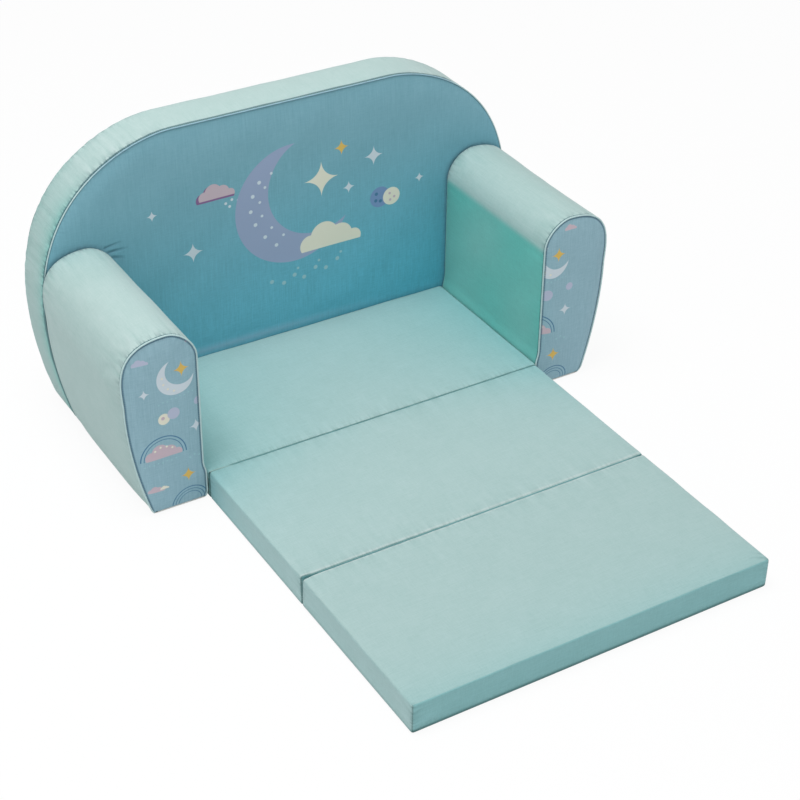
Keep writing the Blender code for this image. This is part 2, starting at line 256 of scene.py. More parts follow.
def outlineBlock(name, path, corners, ends, cells, uPlaces, rows):
    # a block with this outline: the path runs right foot, first corner, top, second corner, left foot;
    # rows gives heights by the foot, then the first and last of so many even ones, then the highest ones;
    # what comes after the first even one is measured down from the first corner
    even, (first, second) = np.linspace(0, 1, 400), corners
    stretches = ((0, first), (first, second), (second, 1))
    right, top, left = (alongPath(path, start + even * (end - start)) for start, end in stretches)
    top, left = top[::-1], left[::-1]
    yPlaces = spread(ends[1] - ends[0], cells, seamSteps) + ends[0]
    height, (low, start, end, count, last) = right[-1, 1], rows
    levels = np.concatenate([low, np.linspace(start, height - end, count), height - np.array(last)]) / height
    rightShares = np.interp(levels * height, right[:, 1], even)
    leftShares = np.interp(levels * left[-1, 1], left[:, 1], even)
    grid = filledSection(
        alongPath(np.array([left[0], right[0]]), uPlaces), alongPath(top, uPlaces),
        alongPath(left, leftShares), alongPath(right, rightShares), uPlaces, levels,
    )
    lattice, faces, sides = latticeShell(len(uPlaces) - 1, len(yPlaces) - 1, len(levels) - 1)
    i, j, k = lattice.T
    section = grid[i, k]
    block = Block(name, np.c_[section[:, 0], yPlaces[j], section[:, 1]], faces, sides)
    places = block.places
    block.onRim = (i == 0) | (i == len(uPlaces) - 1) | (k == len(levels) - 1)
    block.onCap = (j == 0) | (j == len(yPlaces) - 1)
    block.path, block.ends = path, (yPlaces[0], yPlaces[-1])
    # edges ease inwards beside the seams
    edgeGap = np.minimum(places[:, 1] - yPlaces[0], yPlaces[-1] - places[:, 1])
    fromRim = np.where(block.onRim, 0, nearOutline(section, path)[0])
    easeRim, easeCap = easeIn(edgeGap, seamSoft) * block.onRim, easeIn(fromRim, seamSoft) * block.onCap
    places[:, [0, 2]] += insideDirection(section, path) * easeRim[:, None]
    low = easeIn(places[:, 2], footEase)
    easeCap += low * block.onCap
    places[:, 1] += np.where(j == 0, easeCap, -easeCap)
    places[:, 0] -= np.sign(places[:, 0] - places[:, 0].mean()) * low * block.onRim
    footGap = np.minimum(fromRim, edgeGap) * ~block.onRim * ~block.onCap
    places[:, 2] += easeIn(footGap, footEase) * (k == 0)
    return block


def insideDirection(section, path):
    # unit vectors into the outline, at points on it
    along = unit(np.diff(path, axis=0))
    middle = (path[1:] + path[:-1]) / 2
    nearest = np.argmin(((section[:, None] - middle[None]) ** 2).sum(axis=2), axis=1)
    return np.stack([-along[nearest, 1], along[nearest, 0]], -1)


def slabBlock(name, low, high, cells, edge, radius, crown, folds, crisp):
    # a box lattice whose points are drawn on to rounded edges round an inner box, with tighter rounding
    # beside a fold; the top rises to the crown
    axes = [spread(high[axis] - low[axis], cells[axis], edge[axis]) + low[axis] for axis in range(3)]
    lattice, faces, sides = latticeShell(*(len(axis) - 1 for axis in axes))
    boxed = np.stack([axes[axis][lattice[:, axis]] for axis in range(3)], -1)
    low, high = np.array(low), np.array(high)
    nearEnd = np.where(boxed[:, 1] > (low[1] + high[1]) / 2, high[1], low[1])
    radii = np.full(boxed.shape, radius)
    radii[np.isclose(nearEnd[:, None], crisp).any(axis=1), 1] *= slabFold
    inner = np.clip(boxed, low + radii, high - radii)
    offset = (boxed - inner) / radii
    places = inner + radii * offset / np.maximum(np.linalg.norm(offset, axis=1)[:, None], 1e-9)
    across = 1 - (2 * (places[:, :2] - low[:2]) / (high[:2] - low[:2]) - 1) ** 2
    upper = ramp(boxed[:, 2], low[2] + 0.6 * (high[2] - low[2]), high[2])
    places[:, 2] += crown * np.prod(1 - (1 - across) ** 3, axis=1) * upper
    block = Block(name, places, faces, sides)
    block.rest, block.low, block.high, block.folds = boxed, low, high, folds
    return block


# cloth simulation: all covers at once, under gentle air pressure, with their seams and resting sides held
puffing = {
    "quality": 4, "mass": 0.3, "tension_stiffness": 15.0, "compression_stiffness": 15.0, "shear_stiffness": 5.0,
    "bending_stiffness": 0.6, "use_pressure": True, "vertex_group_mass": "held", "pin_stiffness": 1.0,
}
puffFrames = 20


def clothCopy(block):
    # a copy of the block's cover as a cloth, its points held as firmly as the block says
    shell = addObject(block.name + "_cloth", newMesh(block.name, block.places, block.faces))
    held = shell.vertex_groups.new(name="held")
    firmness = np.round(block.hold, 1)
    for level in np.unique(firmness):
        held.add(np.flatnonzero(np.isclose(firmness, level)).tolist(), float(level), "REPLACE")
    cloth = shell.modifiers.new("cloth", "CLOTH")
    for setting, value in puffing.items():
        setattr(cloth.settings, setting, value)
    cloth.settings.uniform_pressure_force, cloth.settings.effector_weights.gravity = block.pressure, 0
    cloth.collision_settings.use_collision = False
    cloth.point_cache.frame_start, cloth.point_cache.frame_end = 1, puffFrames
    return shell


def puff(blocks):
    # runs the cloth, then moves each free point by the cloth's own shift, levelled off at the block's cap
    scene = bpy.context.scene
    shells = [clothCopy(block) for block in blocks]
    for frameNumber in range(1, puffFrames + 1):
        scene.frame_set(frameNumber)
    graph = bpy.context.evaluated_depsgraph_get()
    for block, shell in zip(blocks, shells):
        moved = readBack(shell.evaluated_get(graph).data.vertices, "co", block.places.shape)
        shift = (moved - block.places) * (1 - block.hold)[:, None]
        size = np.maximum(np.linalg.norm(shift, axis=1), 1e-9)
        capped = shift * (block.cap * np.tanh(size / block.cap) / size)[:, None]
        kept = np.linalg.norm(capped, axis=1).max()
        print(f"   {block.name}: cloth moved up to {size.max() * 1000:.1f} mm, kept {kept * 1000:.1f}")
        block.places = block.places + capped
        removeShell(shell)
    scene.frame_set(1)


foamInset = 0.0026  # from the cover's outside to the foam: cover, zip tape and clearance


def subdivide(block):
    # one level of subdivision that carries the place at rest and the side numbers along; the coarse shell,
    # drawn inwards, becomes the foam
    mesh = newMesh(block.name, block.places, block.faces)
    carry(mesh, "rest", block.rest)
    mesh.attributes.new("side", "INT", "FACE").data.foreach_set("value", inRow(block.sides, np.int32))
    shell = addObject("shell", mesh)
    outwards = readBack(mesh.vertex_normals, "vector", block.places.shape)
    block.core, block.coreFaces = block.places - foamInset * outwards, block.faces
    finer = shell.modifiers.new("finer", "SUBSURF")
    finer.levels = finer.render_levels = 1
    made = shell.evaluated_get(bpy.context.evaluated_depsgraph_get()).data
    count, faceCount = len(made.vertices), len(made.polygons)
    block.places = readBack(made.vertices, "co", (count, 3)).astype(float)
    block.rest = readBack(made.attributes["rest"].data, "vector", (count, 3)).astype(float)
    block.sides = readBack(made.attributes["side"].data, "value", faceCount, np.int32)
    block.faces = readBack(made.loops, "vertex_index", (faceCount, 4), np.int32)
    block.normals = readBack(made.vertex_normals, "vector", (count, 3)).astype(float)
    removeShell(shell)


# materials: values wired up in node trees
def screen(*levels):
    # 8-bit screen levels as a linear colour
    share = np.array(levels) / 255
    return (*np.where(share <= 0.04045, share / 12.92, ((share + 0.055) / 1.055) ** 2.4).tolist(), 1)


def scaled(colour, *factors):
    # a colour with its channels scaled, each by its own factor or all by one
    return (*(part * factor for part, factor in zip(colour[:3], factors * 3)), 1)


class Wire:
    # one value in a node tree, with the arithmetic of Math nodes
    def __init__(self, tree, socket):
        self.tree, self.socket = tree, socket

    def math(self, operation, *others):
        return node(self.tree, "ShaderNodeMath", dict(enumerate((self, *others))), operation=operation)

    def __add__(self, other):
        return self.math("ADD", other)

    def __sub__(self, other):
        return self.math("SUBTRACT", other)

    def __mul__(self, other):
        return self.math("MULTIPLY", other)

    def __neg__(self):
        return self * -1.0

    def __abs__(self):
        return self.math("ABSOLUTE")

    def least(self, *others):
        return self if not others else self.math("MINIMUM", others[0]).least(*others[1:])

    def most(self, *others):
        return self if not others else self.math("MAXIMUM", others[0]).most(*others[1:])

    def within(self, soft):
        # 1 inside a shape and 0 outside, from its signed distance, with a soft edge of this width
        limits = {"From Min": soft / 2, "From Max": -soft / 2, "To Min": 0, "To Max": 1.0}
        return node(self.tree, "ShaderNodeMapRange", {"Value": self, **limits}, "Result")


def connect(made, inputs):
    # links or sets each named input of a node
    for name, value in inputs.items():
        if isinstance(value, Wire):
            value.tree.links.new(value.socket, made.inputs[name])
        else:
            made.inputs[name].default_value = value


def node(tree, kind, inputs=None, output=0, **settings):
    # a new node; gives one of its outputs
    made = tree.nodes.new(kind)
    for name, value in settings.items():
        setattr(made, name, value)
    connect(made, inputs or {})
    return Wire(tree, made.outputs[output])


def noise(place, scale=1.0, detail=3.0, rough=0.55):
    inputs = {"Vector": place, "Scale": scale, "Detail": detail, "Roughness": rough}
    return node(place.tree, "ShaderNodeTexNoise", inputs)


def stretched(place, factors):
    return node(place.tree, "ShaderNodeMapping", {"Vector": place, "Scale": factors}, vector_type="POINT")


def mixed(amount, first, second):
    return node(amount.tree, "ShaderNodeMix", {0: amount, 6: first, 7: second}, 2, data_type="RGBA")


def vectorMath(operation, first, second, output=0):
    return node(first.tree, "ShaderNodeVectorMath", {0: first, 1: second}, output, operation=operation)


def parted(vector):
    first = node(vector.tree, "ShaderNodeSeparateXYZ", {"Vector": vector})
    return [Wire(vector.tree, output) for output in first.socket.node.outputs]


def joined(*parts):
    return node(parts[0].tree, "ShaderNodeCombineXYZ", dict(enumerate(parts)))


def carried(tree, name):
    # the three parts of an attribute that the mesh carries
    kind = dict(attribute_name=name, attribute_type="GEOMETRY")
    return parted(node(tree, "ShaderNodeAttribute", None, "Vector", **kind))


def clothPlace(tree):
    # the place on the cloth, in metres
    return node(tree, "ShaderNodeUVMap", uv_map="clothUV")


def objectPlace(tree):
    return node(tree, "ShaderNodeTexCoord", None, "Object")


def bumped(height, strength):
    return node(height.tree, "ShaderNodeBump", {"Height": height, "Strength": strength, "Distance": 1.0})


def newMaterial(name):
    made = bpy.data.materials.new(name)
    made.use_nodes = True
    return made, made.node_tree, made.node_tree.nodes["Principled BSDF"]


def plainWeave(uv, pitch):
    # threads over and under by turns: each thread a half round, raised or sunk by the product of both waves
    warp, weft = (part * (math.pi / pitch) for part in parted(uv)[:2])
    ridge = abs(warp.math("COSINE")) + abs(weft.math("COSINE"))
    return warp.math("SINE") * weft.math("SINE") * 0.35 + ridge * 0.25


def creaseHeight(place, axes, start, end, width):
    # a crease in the cloth: 1 on the line from start to end, 0 a width away, tapering to its end
    run, rise = end[0] - start[0], end[1] - start[1]
    length, parts = math.hypot(run, rise), parted(place)
    x, z = (parts[axis] - first for axis, first in zip(axes, start))
    across = abs(x * (rise / length) - z * (run / length))
    along = x * (run / length**2) + z * (rise / length**2)
    return (across - width * 0.5).within(width) * (along - 0.65).within(0.7) * (-along).within(0.1)


clothDetail = dict(  # scales and fading per metre, heights in metres
    slubs=(60, 520), mottle=26.0, grain=480.0, folds=(115.0, 16.0, 0.5), pleats=(230.0, 45.0, 0.6),
    foldFade=-24.0, pinchFade=-170.0, foldTone=2.4, stitch=0.003, lineWidth=0.001, threadHigh=0.00012,
    slubHigh=0.00009, grainHigh=0.00006, foldHigh=0.0022, pinchDeep=0.0011, creaseTone=400.0,
)


def clothMaterial(name, colour, deep, weave, tint=None, printed=None, creases=()):
    # woven cotton from the piece's own UV map: threads, slubs, streaks and mottling. seamPlace holds the
    # distance from the nearest seam, the place along it and how much it gathers; shades holds painted contact shade,
    # the amount of painted shade tint and the amount of painted highlight
    made, tree, shader = newMaterial(name)
    detail, uv, place = clothDetail, clothPlace(tree), objectPlace(tree)
    gap, run, gather = carried(tree, "seamPlace")
    shade, shadeTinted, pale = carried(tree, "shades")
    long, short = detail["slubs"]
    slubs = noise(stretched(uv, (long, short, 1))) + noise(stretched(uv, (short, long, 1)))
    streaks = noise(stretched(uv, weave["streakScale"]))
    mottle = noise(place, detail["mottle"], 4.0, 0.6)
    grain = noise(uv, detail["grain"], 3.0, 0.7)
    folds, pleats = (
        noise(joined(run * along, gap * across, gather), 1.0, 2.0, rough)
        for along, across, rough in (detail["folds"], detail["pleats"])
    )
    nearSeam, wide = ((gap * detail[fade]).math("EXPONENT") * gather for fade in ("pinchFade", "foldFade"))
    level = slubs * weave["slub"] + mottle * weave["mottle"] + grain * weave["grain"] + streaks * weave["streak"]
    # painted light and shade on the soft folds beside the seams: lighter on their ridges, darker in their hollows
    level = level + (folds - 0.5) * wide * detail["foldTone"]
    level = level - (weave["slub"] + 0.5 * (weave["mottle"] + weave["grain"] + weave["streak"])) + 0.5
    colour, deep = screen(*colour), screen(*deep)
    base = mixed(level, deep, colour)
    # painted shade tint: a deeper colour where the cloth lies in shade and takes light bounced off the cloth round
    # it
    if tint:
        base = mixed(shadeTinted, base, mixed(level, *(scaled(screen(*tint), factor) for factor in (0.82, 1.18))))
    # painted highlight: a paler colour where light falls strongly
    base = mixed(pale, base, screen(*weave["pale"]))
    if printed:
        base = printed(place, base)
    dark = scaled(deep, *weave["dark"])
    # puckers beside the seams are darkened and the contact shade is laid on: painted shade
    pinch = ((pleats * -1.0 + 0.55) * 9.0).least(1.0).most(0) * nearSeam.least(1.0)
    base = mixed((pinch * weave["pinch"] + shade).least(1.0), base, dark)
    # a dark line drawn along each seam: the seam itself, and painted shade in the groove beside it
    stitches = (run * (2 * math.pi / detail["stitch"])).math("SINE") * 0.14 + 0.86
    base = mixed((gap - weave["lineEdge"]).within(detail["lineWidth"]) * stitches * weave["line"], base, dark)
    height = plainWeave(uv, weave["pitch"]) * detail["threadHigh"] + slubs * detail["slubHigh"]
    height = height + grain * detail["grainHigh"] + folds * wide * detail["foldHigh"] - pinch * detail["pinchDeep"]
    # creases: dented in the bump and darkened, painted shade in them
    for axes, start, end, width, depth in creases:
        fold = creaseHeight(place, axes, start, end, width)
        base = mixed(fold * (detail["creaseTone"] * depth), base, dark)
        height = height - fold * depth
    connect(shader, {
        "Base Color": base, "Roughness": weave["roughness"], "Specular IOR Level": weave["specular"],
        "Sheen Weight": weave["sheen"], "Sheen Roughness": 0.45, "Normal": bumped(height, weave["bump"]),
    })
    return made


# dark scales the deep colour into the colour of painted shade and seam lines; highlight is the painted highlight's
# colour
mintWeave = dict(
    pitch=0.0006, slub=0.55, mottle=0.34, grain=0.65, streak=0.42, streakScale=(26, 380, 1), roughness=0.86,
    specular=0.3, sheen=0.22, bump=0.85, lineEdge=0.0012, line=0.7, pale=(214, 220, 218), pinch=0.62,
    dark=(0.2, 0.36, 0.37),
)
printWeave = dict(
    mintWeave, pitch=0.0005, roughness=0.8, sheen=0.12, bump=0.7, lineEdge=0.004, line=0.9, streak=0.95,
    streakScale=(520, 14, 1), pale=(150, 178, 200), slub=0.8, dark=(0.3, 0.38, 0.46),
)
wrapWeave = dict(
    mintWeave, lineEdge=0.0034, line=0.95, pinch=0.85, streakScale=(420, 22, 1), dark=(0.17, 0.27, 0.33)
)
cornerCreases = (
    ((0, 1), (0.269, -0.437), (0.244, -0.424), 0.0032, 0.0007),
    ((0, 1), (0.269, -0.428), (0.251, -0.414), 0.003, 0.0004),
)
mintCloth = clothMaterial(
    "mintCloth", (180, 203, 202), (154, 185, 182), mintWeave, (95, 180, 186), None, cornerCreases
)
wrapCloth = clothMaterial("wrapCloth", (180, 203, 201), (150, 184, 180), wrapWeave, (86, 188, 178))


# motifs of the print: signed distances in millimetres on the cloth's face, x across and z up
def disc(place, x, z, radius):
    return vectorMath("DISTANCE", place, (x, 0, z), "Value") - radius


def crescent(place, x, z, radius, bite):
    # a disc with a slightly smaller disc bitten out of its upper side
    bitten = disc(place, x + bite[0] * radius, z + bite[1] * radius, bite[2] * radius)
    return disc(place, x, z, radius).most(-bitten)


def dots(place, radius, *spots):
    first, *others = (disc(place, x, z, radius) for x, z in spots)
    return first.least(*others)


def cloud(place, x, z, size):
    # four discs in a row on a flat foot
    bumps = ((-0.62, 0.16, 0.3), (-0.18, 0.34, 0.42), (0.3, 0.24, 0.36), (0.7, 0.1, 0.24))
    first, *others = (disc(place, x + a * size, z + b * size, r * size) for a, b, r in bumps)
    return first.least(*others).most(-(parted(place)[2] - z))


def sparkle(place, x, z, size):
    # a four-pointed star: both distances from its centre summed by about their square roots
    parts = parted(vectorMath("SUBTRACT", place, (x, 0, z)))
    across, up = (abs(part).math("POWER", 0.55) for part in parts[::2])
    return ((across + up).math("POWER", 1 / 0.55) - size) * 0.5


def halfRing(place, x, z, radius, thick):
    # the upper half of a ring
    return (abs(disc(place, x, z, radius)) - thick / 2).most(-(parted(place)[2] - z))


printInk = dict(
    slate=(158, 172, 202), deepSlate=(122, 152, 194), cream=(236, 232, 214), blush=(206, 186, 196),
    white=(214, 224, 232), deepBlue=(74, 124, 160), honey=(228, 190, 100), plum=(140, 104, 148),
    pool=(158, 200, 208), lavender=(188, 194, 216),
)
printEdge = 0.6  # softness of the print's edges
trail = ((-10, 133), (8, 142), (24, 134), (44, 145), (62, 139), (82, 149), (-30, 140))
backMotifs = (
    ("plum", cloud, -116.5, 299.5, 33), ("blush", cloud, -114, 302.5, 31),
    ("white", dots, 2.2, (-100, 290), (-90, 294), (-94, 284), (-80, 291)),
    ("slate", crescent, 10, 262, 96, (0.4, 0.24, 0.84)),
    ("white", dots, 3, (-54, 243), (-61, 266), (-57, 290), (-46, 310)),
    ("white", dots, 3, (-39, 219), (-21, 201)),
    ("white", dots, 2.2, (-43, 255), (-46, 278), (-37, 300), (-28, 232)),
    ("white", dots, 2.2, (-9, 215), (-26, 320)),
    ("cream", cloud, 70, 175, 56), ("cream", sparkle, 56, 290, 30),
    ("honey", sparkle, 90, 333, 13), ("white", sparkle, 102, 265, 11),
    ("white", sparkle, -155, 225, 17), ("white", sparkle, 145, 306, 17),
    ("deepSlate", disc, 156, 234, 17),
    ("deepBlue", dots, 2.8, (150, 240), (157, 227), (149, 229)),
    ("cream", disc, 176, 231, 14.5),
    ("blush", dots, 2.1, (173, 236), (181, 229), (174, 225)),
    ("pool", dots, 3.4, *trail), ("pool", dots, 2.2, *((x + 6, z + 10) for x, z in trail[1::2])),
    ("white", sparkle, -215, 300, 9), ("white", sparkle, 225, 250, 9),
)
armMotifs = (  # one repeat, 150 by 310
    ("lavender", cloud, 50, 257, 12.5), ("white", crescent, 98, 226, 27, (0.3, 0.36, 0.84)),
    ("cream", dots, 1.6, (79, 229), (80.5, 219), (86.5, 210.5), (95, 205.5)),
    ("honey", sparkle, 107, 236, 12.5),
    ("pool", dots, 1.2, *((72 + 6.2 * k, 190 + 1.4 * (k % 2) + 0.8 * k) for k in range(9))),
    ("cream", disc, 78, 166, 8.5), ("blush", disc, 76.5, 167.5, 2.6),
    ("lavender", disc, 92, 171, 8.8), ("deepBlue", halfRing, 74, 106, 33, 1.6),
    ("deepBlue", halfRing, 74, 106, 28.5, 1.1), ("blush", cloud, 74, 105.5, 29),
    ("cream", dots, 1.6, (62, 119), (70, 123), (79, 122), (87, 118)),
    ("pool", dots, 1.2, *((46 + 6.5 * k, 97.5 + 1.2 * (k % 2)) for k in range(8))),
    ("blush", cloud, 60, 52, 13), ("cream", cloud, 72, 54, 7),
    ("deepBlue", halfRing, 110, 18, 26, 1.4), ("deepBlue", halfRing, 110, 18, 21.5, 1),
    ("deepBlue", halfRing, 110, 18, 17, 1), ("honey", sparkle, 108, 66, 12),
    ("white", sparkle, 124, 140, 11), ("white", sparkle, 52, 212, 8.5),
    ("lavender", disc, 129, 178, 6), ("blush", cloud, 126, 272, 11),
    ("pool", dots, 1.6, (112, 92), (119, 95), (126, 91)),
)


def inked(place, base, motifs):
    # each motif is an ink, a shape and its measures; later ones lie over earlier ones
    for ink, shape, *measures in motifs:
        base = mixed(shape(place, *measures).within(printEdge), base, screen(*printInk[ink]))
    return base


def backPrint(place, base):
    return inked(vectorMath("MULTIPLY", place, (1000, 0, 1000)), base, backMotifs)


def armPrint(place, base):
    # each arm's panel is cut from another place of the roll
    slid = vectorMath("ADD", vectorMath("MULTIPLY", place, (1000, 0, 1000)), (408, 0, 12))
    return inked(vectorMath("MODULO", slid, (150, 1, 310)), base, armMotifs)


def zipStitches(place, base):
    # a row of stitches all round the zip's opening, 3 mm outside it
    x, _, z = parted(place)
    row = abs((abs(x) - 0.3).most(abs(z - 0.045) - 0.0045) - 0.003)
    stitch = ((x + z) * (2 * math.pi / 0.0034)).math("SINE").math("GREATER_THAN", -0.45)
    base = mixed((row - 0.0009).within(0.0008) * 0.45, base, screen(118, 156, 152))
    return mixed((row - 0.0003).within(0.0003) * stitch, base, screen(206, 222, 218))


armTopCreases = (
    ((0, 2), (-0.289, 0.268), (-0.26, 0.2735), 0.0032, 0.0014),
    ((0, 2), (-0.2835, 0.26), (-0.252, 0.2618), 0.0034, 0.0016),
    ((0, 2), (-0.279, 0.251), (-0.256, 0.2462), 0.0038, 0.0012),
)
blueCloth = clothMaterial(
    "blueCloth", (136, 184, 198), (118, 168, 183), printWeave, (94, 183, 206), backPrint, armTopCreases
)
dustyBlueCloth = clothMaterial(
    "dustyBlueCloth", (162, 197, 210), (140, 177, 190), printWeave, (120, 160, 184), armPrint
)
pipingCloth = clothMaterial(
    "pipingCloth", (200, 224, 224), (180, 210, 210), dict(mintWeave, sheen=0.3, pitch=0.0005, line=0.0),
    (152, 190, 204),
)
undersideCloth = clothMaterial(
    "undersideCloth", (206, 208, 206), (188, 190, 189), dict(mintWeave, sheen=0.1, pitch=0.0009)
)
rearCloth = clothMaterial("rearCloth", (180, 203, 202), (154, 185, 182), mintWeave, None, zipStitches)
# the fold seams' cords are coloured darker than the cloth round them: painted shade in the fold's groove
foldCloth = clothMaterial("foldCloth", (150, 190, 186), (130, 172, 168), dict(mintWeave, line=0.0))


# cushions and covers
def highest(*values):
    # point by point, the highest of several values
    return np.maximum.reduce([np.asarray(value, float) for value in values])


backRows = ((0, 0.006, 0.0135, 0.0225, 0.0315, 0.0405, 0.0495, 0.0585), 0.0675, 0.01, 30, (0.0055, 0.002, 0))
armRows = ((0, 0.003, 0.009), 0.016, 0.012, 34, (0.006, 0.0022, 0))


def makeBack():
    uPlaces = spread(1.0, 90, (0.003, 0.005, 0.007))
    block = outlineBlock("back", backPath, (0.21, 0.79), (backFront, backRear), 7, uPlaces, backRows)
    x, y, z = block.rest.T
    behindArms = (y < backFront + 0.001) * ramp(np.abs(x), 0.262, 0.285) * (1 - ramp(z, 0.262, 0.292))
    block.hold = highest(z < 0.003, 1 - ramp(z, 0.05, 0.075), behindArms, block.onRim & block.onCap)
    block.pressure, block.cap = 3.0, 0.0028
    return block


def makeArm(name, seed):
    uPlaces = spread(1.0, 16, (0.018, 0.028, 0.045))
    block = outlineBlock(name, armPath, (0.41, 0.575), (armFront, armRear), 34, uPlaces, armRows)
    x, y, z = block.rest.T
    inner = (x < 0.2765) & block.onRim
    block.hold = highest(
        z < 0.002, inner * (1 - ramp(z, 0.05, 0.085)), y > armRear - 0.001,
        ramp(y, armRear - 0.03, armRear - 0.004), block.onRim & block.onCap, 0.55 * inner,
    )
    block.pressure, block.cap, block.seed = 4.0, 0.0032, seed
    return block


def mirrored(block):
    block.places, block.rest = block.places * (-1, 1, 1), block.rest * (-1, 1, 1)
    block.path, block.faces = block.path * (-1, 1), block.faces[:, ::-1].copy()
    return block


slabSteps = ((0.0016, 0.0022, 0.0035),) * 2 + ((0.0016, 0.0022, 0.003),)
slabFold = 0.26  # how much of the slab's rounding is left beside a sewn fold
seatHalf, foldHalf = 0.2696, 0.2695  # half widths of the seat base and of the two panels


def makeSlab(name, half, rear, front, seed, folds):
    low, high = (-half, front, 0), (half, rear, seatTop - 0.0015)
    block = slabBlock(name, low, high, (64, 32, 6), slabSteps, 0.0042, 0.0005, folds, (*folds, seatRear))
    x, y, z = block.rest.T
    edge = np.minimum.reduce([half - np.abs(x), rear - y, y - front])
    block.hold = highest(z < 0.004, ramp(edge, 0.004, 0) * 0.6)
    block.pressure, block.cap, block.seed = 2.0, 0.0006, seed
    return block


backBlock = makeBack()
rightArm, leftArm = makeArm("right_arm", 11), mirrored(makeArm("left_arm", 23))
seatBase = makeSlab("seat_base", seatHalf, seatRear, seatFront, 5, (seatFront,))
middlePanel = makeSlab("middle_panel", foldHalf, middleRear, middleFront, 6, (middleRear, middleFront))
frontPanel = makeSlab("front_panel", foldHalf, matRear, matFront, 7, (matRear,))
blocks = [backBlock, rightArm, leftArm, seatBase, middlePanel, frontPanel]
print("stage: lattices,", sum(len(block.places) for block in blocks), "points")
puff(blocks)
print("stage: covers puffed")
for block in blocks:
    subdivide(block)


# dressing: seams, waves and shades worked out on the finer meshes
touching = 0.0001  # surfaces closer than this count as one


def seamDistances(block):
    # how far each point lies from the nearest seam, and where along that seam
    x, y, z = block.rest.T
    if block.wrapped:
        front, rear = block.ends
        fromRim, block.seamRun = nearOutline(block.rest[:, [0, 2]], block.path)
        block.seamGap = np.maximum(fromRim, np.minimum(y - front, rear - y))
        return
    (half, rear, top), front = block.high, block.low[1]
    corner = np.hypot(half - np.abs(x), np.minimum(y - front, rear - y))
    block.foldGap = np.min([np.abs(y - edge) for edge in block.folds], axis=0)
    fold = block.foldGap + np.where(z > top - touching, 0, 9)
    block.seamGap, block.seamRun = np.minimum(corner, fold), np.where(corner < fold, z, x)


def moveOut(block, lift):
    block.places += block.normals * lift[:, None]


backDress = dict(wave=0.0004, panelWave=0.0006, crease=0.0006, roll=0.0009, rollWide=0.0055)


def dressBack(block):
    # waves on both panels, creases across the band and a roll of cloth over the seat
    x, y, z = block.rest.T
    (front, rear), aside, gap = block.ends, np.abs(x), block.seamGap
    onFront, onRear = y < front + touching, y > rear - touching
    onBand, low = ~(onFront | onRear), z < 0.285
    shoulder = ramp(aside, 0.16, 0.26) * ramp(z, 0.1, 0.24) * np.where(x < 0, 1.0, 0.6)
    block.gather = 0.1 + 0.9 * shoulder
    free = ramp(z, 0.06, 0.085) * ramp(gap, 0, 0.03) * (onFront | onRear)
    free *= 1 - ((aside > 0.268) & low) * onFront
    lift = free * backDress["panelWave"] * ripple(block.rest[:, [0, 2]], 0.11, 31)
    level = ramp(z, 0.01, 0.05) * onBand
    lift += level * backDress["wave"] * ripple(block.rest, 0.06, 32)
    across = np.c_[block.seamRun, y * 0.3]
    lift += level * backDress["crease"] * block.gather * ripple(across, 0.013, 33) * fading(gap, 0.03)
    overSeat, leftwards = onFront * (aside < 0.266), ramp(-x, -0.2, 0.1)
    lift += overSeat * backDress["roll"] * hump(z, 0.054, backDress["rollWide"]) * leftwards
    moveOut(block, lift)
    armGap = nearOutline(np.c_[aside, z], armPath)[0]
    # painted shade: over the seat, round the arms, at the foot and on the band's left
    block.seamShade = highest(
        fading(np.abs(z - 0.047), 0.003) * overSeat * 0.45 * ramp(x, -0.08, 0.16),
        onFront * 0.24 * fading(armGap, 0.002) * low, 0.4 * fading(z, 0.002), 0.05 * onBand * ramp(-x, 0.28, 0.36),
    )
    # painted highlight: a light strip along the roll, and on the band's faces turned upwards
    block.pale = overSeat * 0.55 * hump(z, 0.0545, backDress["rollWide"]) * leftwards
    block.pale += onBand * 0.12 * ramp(block.normals[:, 2], 0.5, 0.98)
    # painted shade tint: along the band's left edges and low on the front panel
    teal = fading(y - front, 0.02) * ramp(-x, 0.24, 0.34) * (1 - ramp(z, 0.32, 0.4))
    edge = fading(rear - y, 0.01) * ramp(-x, 0.2, 0.34)
    panel = onFront * (1 - ramp(z, 0.05, 0.4)) * (0.66 + 0.34 * ramp(x, -0.3, 0.3))
    block.tint = np.where(onBand, teal * 0.68 + edge * 0.18, panel)


def dressArm(block):
    # gentle waves; the inner wall takes the painted shade tint, cloudy and lighter in two places
    x, y, z = block.rest.T
    isLeft, onFront, behind = block is leftArm, y < block.ends[0] + touching, armRear - y
    inner = (np.abs(x) < 0.277) & (y > block.ends[0] + touching)
    block.gather = (0.12 + 0.88 * ramp(z, 0.18, 0.25)) * (1.0 if isLeft else 0.65)
    free = ramp(block.seamGap, 0, 0.02) * ramp(z, 0.02, 0.06) * ramp(behind, 0, 0.03)
    moveOut(block, 0.00045 * free * ripple(block.rest * (1, 0.6, 1), 0.05, block.seed))
    wall = inner * (1 - ramp(z, 0.226, 0.24))
    cloudy = 1 + 0.1 * ripple(block.rest * (0, 1, 1), 0.09, block.seed + 1)
    block.tint = wall * 0.86 * cloudy * (1 - 0.16 * fading(np.hypot(y - 0.27, z - 0.15), 0.06))
    block.tint *= 1 - 0.14 * fading(np.hypot(y - 0.13, z - 0.09), 0.05)
    # painted shade: at the back, at the foot, low on the inner wall and on the left arm's front
    block.seamShade = highest(
        0.75 * fading(behind, 0.0026), 0.65 * fading(z, 0.002), inner * 0.34 * (1 - ramp(z, 0.04, 0.0515)),
        wall * 0.2 * fading(behind, 0.03), onFront * (0.03 * isLeft), wall * 0.06 * fading(z - 0.05, 0.04),
    )
    # painted highlight on faces turned upwards, stronger on the left arm
    topHighlight = 0.14 if isLeft else 0.04
    block.pale = topHighlight * ramp(block.normals[:, 2], 0.2, 0.85) * ramp(behind, 0, 0.14)


slabDress = dict(hollow=-0.0011, swell=0.00045, wave=0.0005, crease=0.0003, lean=0.0016, beside=0.0012)


